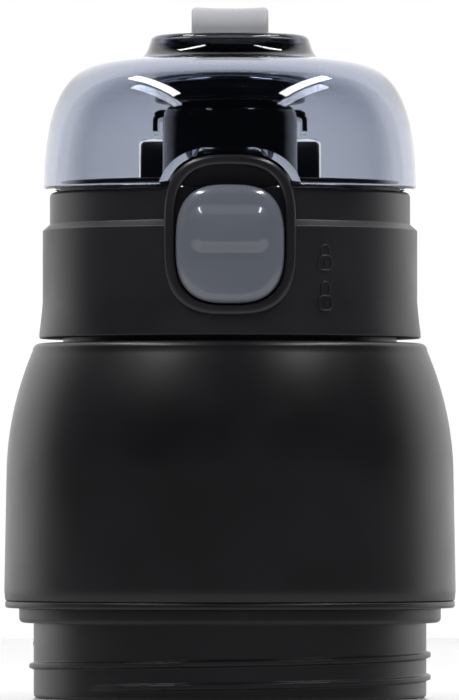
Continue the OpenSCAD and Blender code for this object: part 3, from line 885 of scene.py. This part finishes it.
def coil_path(mean_r, pitch, turns, steps=24):
    count = round(turns * steps)
    angles = [math.tau * turns * i / count for i in range(count + 1)]
    return [(mean_r * math.cos(a), mean_r * math.sin(a), pitch * a / math.tau) for a in angles]


def make_metal_parts():
    pin = rod("hinge_pin_steel", 1 - EAR_OUT, EAR_OUT - 1, HINGE_Y, HINGE_Z, 1)
    dress(pin, STEEL, "lid", "steel", "hinge_pin")
    pin = rod("latch_pin_steel", -6.3, 6.3, LATCH_Y, LATCH_Z, 0.8)
    dress(pin, STEEL, "lid", "steel", "latch_pin")
    coil = [(-4 + z, HINGE_Y + y, HINGE_Z - x) for x, y, z in coil_path(2, 1, 8)]
    leg = [(-4, HINGE_Y - 3.5, HINGE_Z - 2 - 2.9), (-4, HINGE_Y - 1.2, HINGE_Z - 2 - 1.0)]
    obj = tube("hinge_spring_wire", leg + coil[3:], 0.35)
    dress(obj, WIRE, "lid", "spring_steel", "hinge_spring", sharp=60)
    coil = [(-1.3 + z, LATCH_Y + y, LATCH_Z - x) for x, y, z in coil_path(1.35, 0.52, 5)]
    obj = tube("latch_spring_wire", coil, 0.2)
    dress(obj, WIRE, "lid", "spring_steel", "latch_spring", sharp=60)
    coil = [(x, -28.7 - z, STEM_Z + y) for x, y, z in coil_path(2.2, 0.65, 3.2)]
    obj = tube("button_spring_wire", coil, 0.25)
    dress(obj, WIRE, "slider", "spring_steel", "button_spring", sharp=60)
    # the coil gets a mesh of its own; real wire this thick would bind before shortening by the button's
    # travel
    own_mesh(obj)


make_shoulder()
make_liner()
make_skirt()
make_neck_ring()
make_turned_seals()
make_collar()
make_bezel()
make_spout()
padlock("padlock_closed", 70.6, False)
padlock("padlock_open", 64.2, True)
make_button()
make_slot_shutter()
make_dome()
make_cup()
make_crown_insert()
make_plug()
make_strap()
make_metal_parts()

# parts inside the lid keep their CAD shape
for node, finish in (("lid_core", PLAIN_PP), ("lock_slider", PLAIN_PP), ("latch_lever", PLAIN_PP)):
    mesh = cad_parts[node].data
    mesh.materials.clear()
    mesh.materials.append(finish)


# ---- studio ----


def studio_paint():
    """Satin white paint on board: a plain pale ground that mirrors the cove at a low angle."""
    made, tree, shader = material("studio_paint_white", IOR=1.45)
    surface(tree, shader, "#c9c9ca", "#cdcdce", 0.2, 0.24, 2.0, 0.001, patch_mm=200)
    return made


def make_floor():
    floor = slab("floor", arc(0, 0, 600, 0, 357, 119), -3, -0.02)
    floor.data.materials.append(studio_paint())


def softbox(name, place, width, height, power, roll=0):
    """A flat lamp, placed in metres, that faces the object and is rolled about its own axis."""
    lamp = bpy.data.lights.new(name, "AREA")
    lamp.shape = "RECTANGLE"
    lamp.size = width
    lamp.size_y = height
    lamp.energy = power
    obj = bpy.data.objects.new(name, lamp)
    obj.location = place
    middle = Vector((0, 0, 0.075))
    facing = (middle - Vector(place)).to_track_quat("-Z", "Y")
    obj.rotation_euler = (facing @ Quaternion((0, 0, 1), math.radians(roll))).to_euler()
    bpy.context.scene.collection.objects.link(obj)
    return obj


def make_world():
    """Plain white straight to the camera; gloss and smoked plastic get a room, dark in front."""
    world = bpy.data.worlds.new("studio")
    bpy.context.scene.world = world
    world.use_nodes = True
    tree = world.node_tree
    tree.nodes.clear()
    way = add(tree, "TexCoord").outputs["Generated"]
    parts = add(tree, "SeparateXYZ", {"Vector": way})
    fade = add(
        tree,
        "MapRange",
        {"Value": parts.outputs["Y"], "From Min": 0.2, "From Max": 0.58},
        interpolation_type="SMOOTHSTEP",
    )
    tone = add(tree, "Mix", {"Factor": fade.outputs["Result"]}, data_type="RGBA")
    tone.inputs["A"].default_value = linear("#1d1f25")
    tone.inputs["B"].default_value = linear("#ffffff")
    room = add(tree, "Background", {"Color": tone.outputs["Result"], "Strength": 1.35})
    cove = add(tree, "Background", {"Color": linear("#ffffff"), "Strength": 1.0})
    ray = add(tree, "LightPath")
    mixed = add(tree, "MixShader", {0: ray.outputs["Is Camera Ray"]})
    tree.links.new(room.outputs["Background"], mixed.inputs[1])
    tree.links.new(cove.outputs["Background"], mixed.inputs[2])
    out = add(tree, "OutputWorld")
    tree.links.new(mixed.outputs["Shader"], out.inputs["Surface"])


def make_camera():
    """Level with the lower part of the shoulder, well back, as a long product lens sees it."""
    lens = bpy.data.cameras.new("camera")
    lens.sensor_width = 36
    lens.lens = 445
    lens.clip_start, lens.clip_end = 0.1, 20
    obj = bpy.data.objects.new("camera", lens)
    eye = Vector((-0.00008, -1.4, 0.032))
    aim = Vector((-0.00008, 0, 0.05617))
    obj.location = eye
    obj.rotation_euler = (aim - eye).to_track_quat("-Z", "Y").to_euler()
    bpy.context.scene.collection.objects.link(obj)
    bpy.context.scene.camera = obj


make_floor()
make_world()
make_camera()
strip_x, strip_y, strip_z = 0.49, -0.15, 0.78
strip_length, strip_width, strip_watts, strip_roll = 0.72, 0.085, 4.2, 12.6
for side in (-1, 1):
    place = (side * strip_x, strip_y, strip_z)
    softbox("strip", place, strip_length, strip_width, strip_watts, side * strip_roll)
# a wide soft fill from the front that leaves no highlight of its own
fill = softbox("fill", (0, -0.9, 0.45), 0.6, 0.6, 2.6)
fill.visible_glossy = False
fill.visible_transmission = False
bpy.context.scene.view_settings.view_transform = "Standard"
